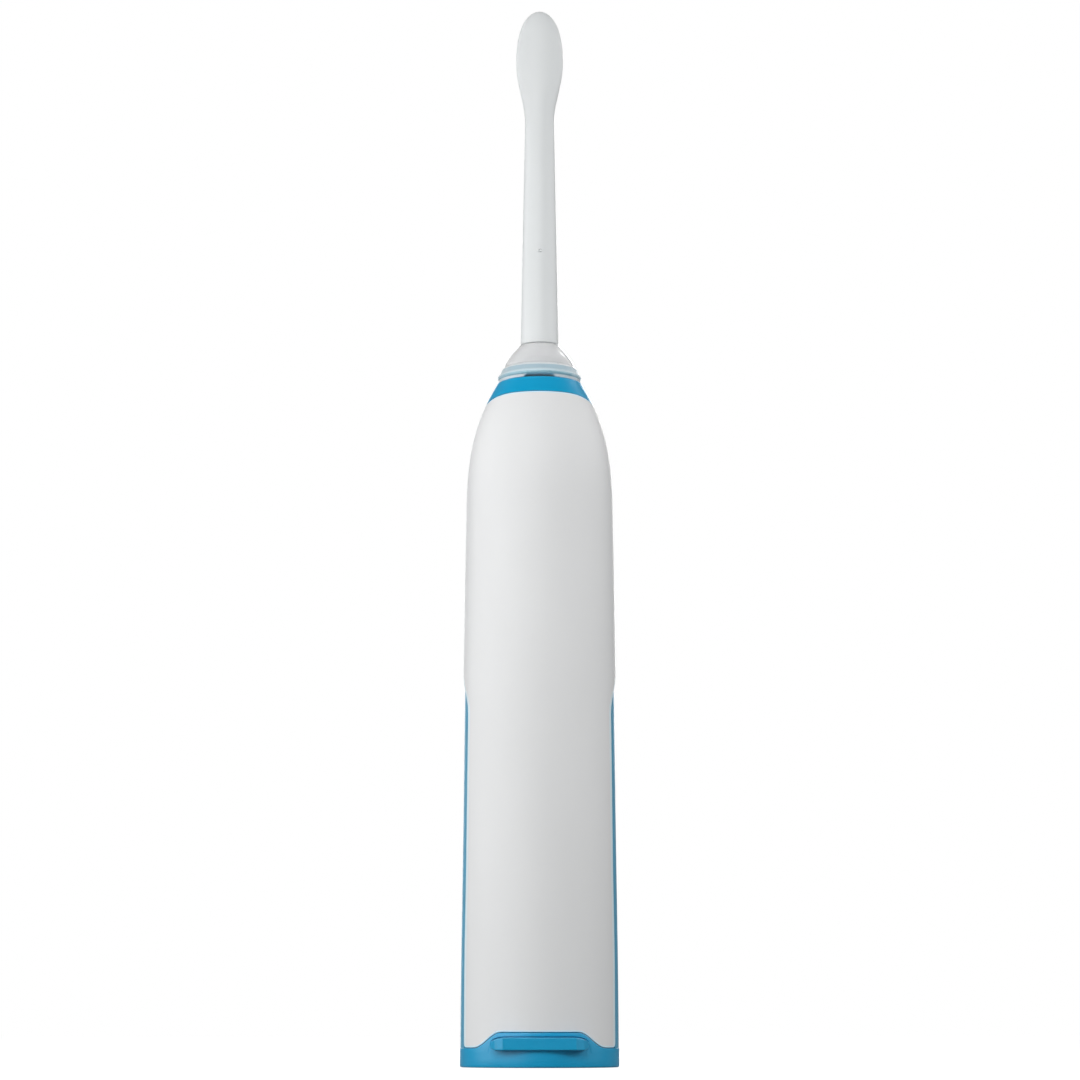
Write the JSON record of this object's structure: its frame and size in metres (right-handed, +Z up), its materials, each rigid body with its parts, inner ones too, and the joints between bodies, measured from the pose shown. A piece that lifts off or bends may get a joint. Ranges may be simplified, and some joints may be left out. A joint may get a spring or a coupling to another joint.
{
  "type": "electric toothbrush",
  "caption": "Upright sonic electric toothbrush: tapered handle in white shells over a blue body, blue pull-off base, and a screw-on brush head that sweeps from side to side.",
  "frame": {"origin": "centre of the underside, at the mouth of the charging socket", "axes": "+Z up the handle to the brush's tip, +Y towards the bristles and the power button, -Y towards the thumb lug on the back, +X to the right seen from behind"},
  "size_m": [0.0366, 0.0386, 0.253],
  "materials": {
    "white_shell": "satin moulded ABS, white",
    "blue_plastic": "satin moulded plastic, blue",
    "blue_grip": "soft-touch elastomer, blue",
    "ice_clear": "clear, faintly blue moulded plastic",
    "head_white": "satin moulded plastic, cool white",
    "cone_white": "satin moulded plastic, grey-white",
    "button_grey": "soft-touch elastomer, pale grey",
    "bezel_silver": "satin plastic, silver grey",
    "lens_clear": "clear moulded plastic",
    "black_rubber": "matt black elastomer",
    "nose_grey": "dark grey moulded plastic",
    "frame_nylon": "natural glass-filled nylon",
    "core_steel": "laminated silicon steel, dark",
    "steel": "stainless steel",
    "copper_wire": "enamelled copper wire",
    "board": "green solder mask",
    "chip_black": "black epoxy",
    "led_white": "white LED package",
    "cell_wrap": "printed shrink sleeve, green",
    "nickel": "nickel strip",
    "foam": "closed-cell foam",
    "lead": "PVC insulation, red",
    "bristle_white": "nylon filament, white",
    "bristle_blue": "nylon filament, blue",
    "magnet": "nickel-plated magnet"
  },
  "bodies": {
    "handle": {"housing": "blue_plastic", "rear_cover": "white_shell", "front_cover": "white_shell", "side_grip_left": "blue_grip", "side_grip_right": "blue_grip", "front_grip": "blue_grip", "button_bezel": "bezel_silver", "led_lens": "lens_clear", "threaded_nose": "nose_grey", "nose_seal": "black_rubber", "chassis": "frame_nylon", "stator_core": "core_steel", "stator_bobbin": "frame_nylon", "drive_coil": "copper_wire", "circuit_board": "board", "board_components": "chip_black", "tact_switch": "chip_black", "status_led": "led_white", "battery_cells": "cell_wrap", "battery_tabs": "nickel", "battery_pad": "foam", "charge_bobbin": "frame_nylon", "charge_coil": "copper_wire", "wiring": "lead", "chassis_screws": "steel"},
    "hub": {"hub_cone": "cone_white", "pivot_pin": "steel", "stem_seal": "black_rubber"},
    "nut": {"head_nut": "ice_clear"},
    "arm": {"brush_arm": "head_white", "pivot_shaft": "steel", "tuft_plate": "head_white", "bristles_outer": "bristle_white", "bristles_inner": "bristle_blue", "magnet_yoke": "steel", "drive_magnets": "magnet"},
    "button": {"power_button": "button_grey"},
    "switch": {"switch_plunger": "chip_black"},
    "cap": {"end_cap": "blue_plastic", "cap_seal": "black_rubber"}
  },
  "joints": [
    {"name": "head_lift", "type": "slide", "parent": "handle", "child": "hub", "axis": [0, 0, 1], "range_m": [0, 0.003]},
    {"name": "nut_turn", "type": "hinge", "parent": "hub", "child": "nut", "pos_m": [0, 0, 0.162], "axis": [0, 0, 1], "range_deg": [0, 540]},
    {"name": "brush_sweep", "type": "hinge", "parent": "hub", "child": "arm", "pos_m": [0, 0, 0.166], "axis": [0, 1, 0], "range_deg": [-2, 2], "stiffness_Nm_per_rad": 1},
    {"name": "button_press", "type": "slide", "parent": "handle", "child": "button", "axis": [0, -1, 0], "range_m": [0, 0.0004], "stiffness_N_per_m": 600},
    {"name": "plunger_press", "type": "slide", "parent": "handle", "child": "switch", "axis": [0, -1, 0], "range_m": [0, 0.0004]},
    {"name": "cap_pull", "type": "slide", "parent": "handle", "child": "cap", "axis": [0, 0, -1], "range_m": [0, 0.018]}
  ],
  "couplings": [
    {"joint": "nut_turn", "follows": "head_lift", "rad_per_m": 3141.6},
    {"joint": "plunger_press", "follows": "button_press", "ratio": 1}
  ]
}
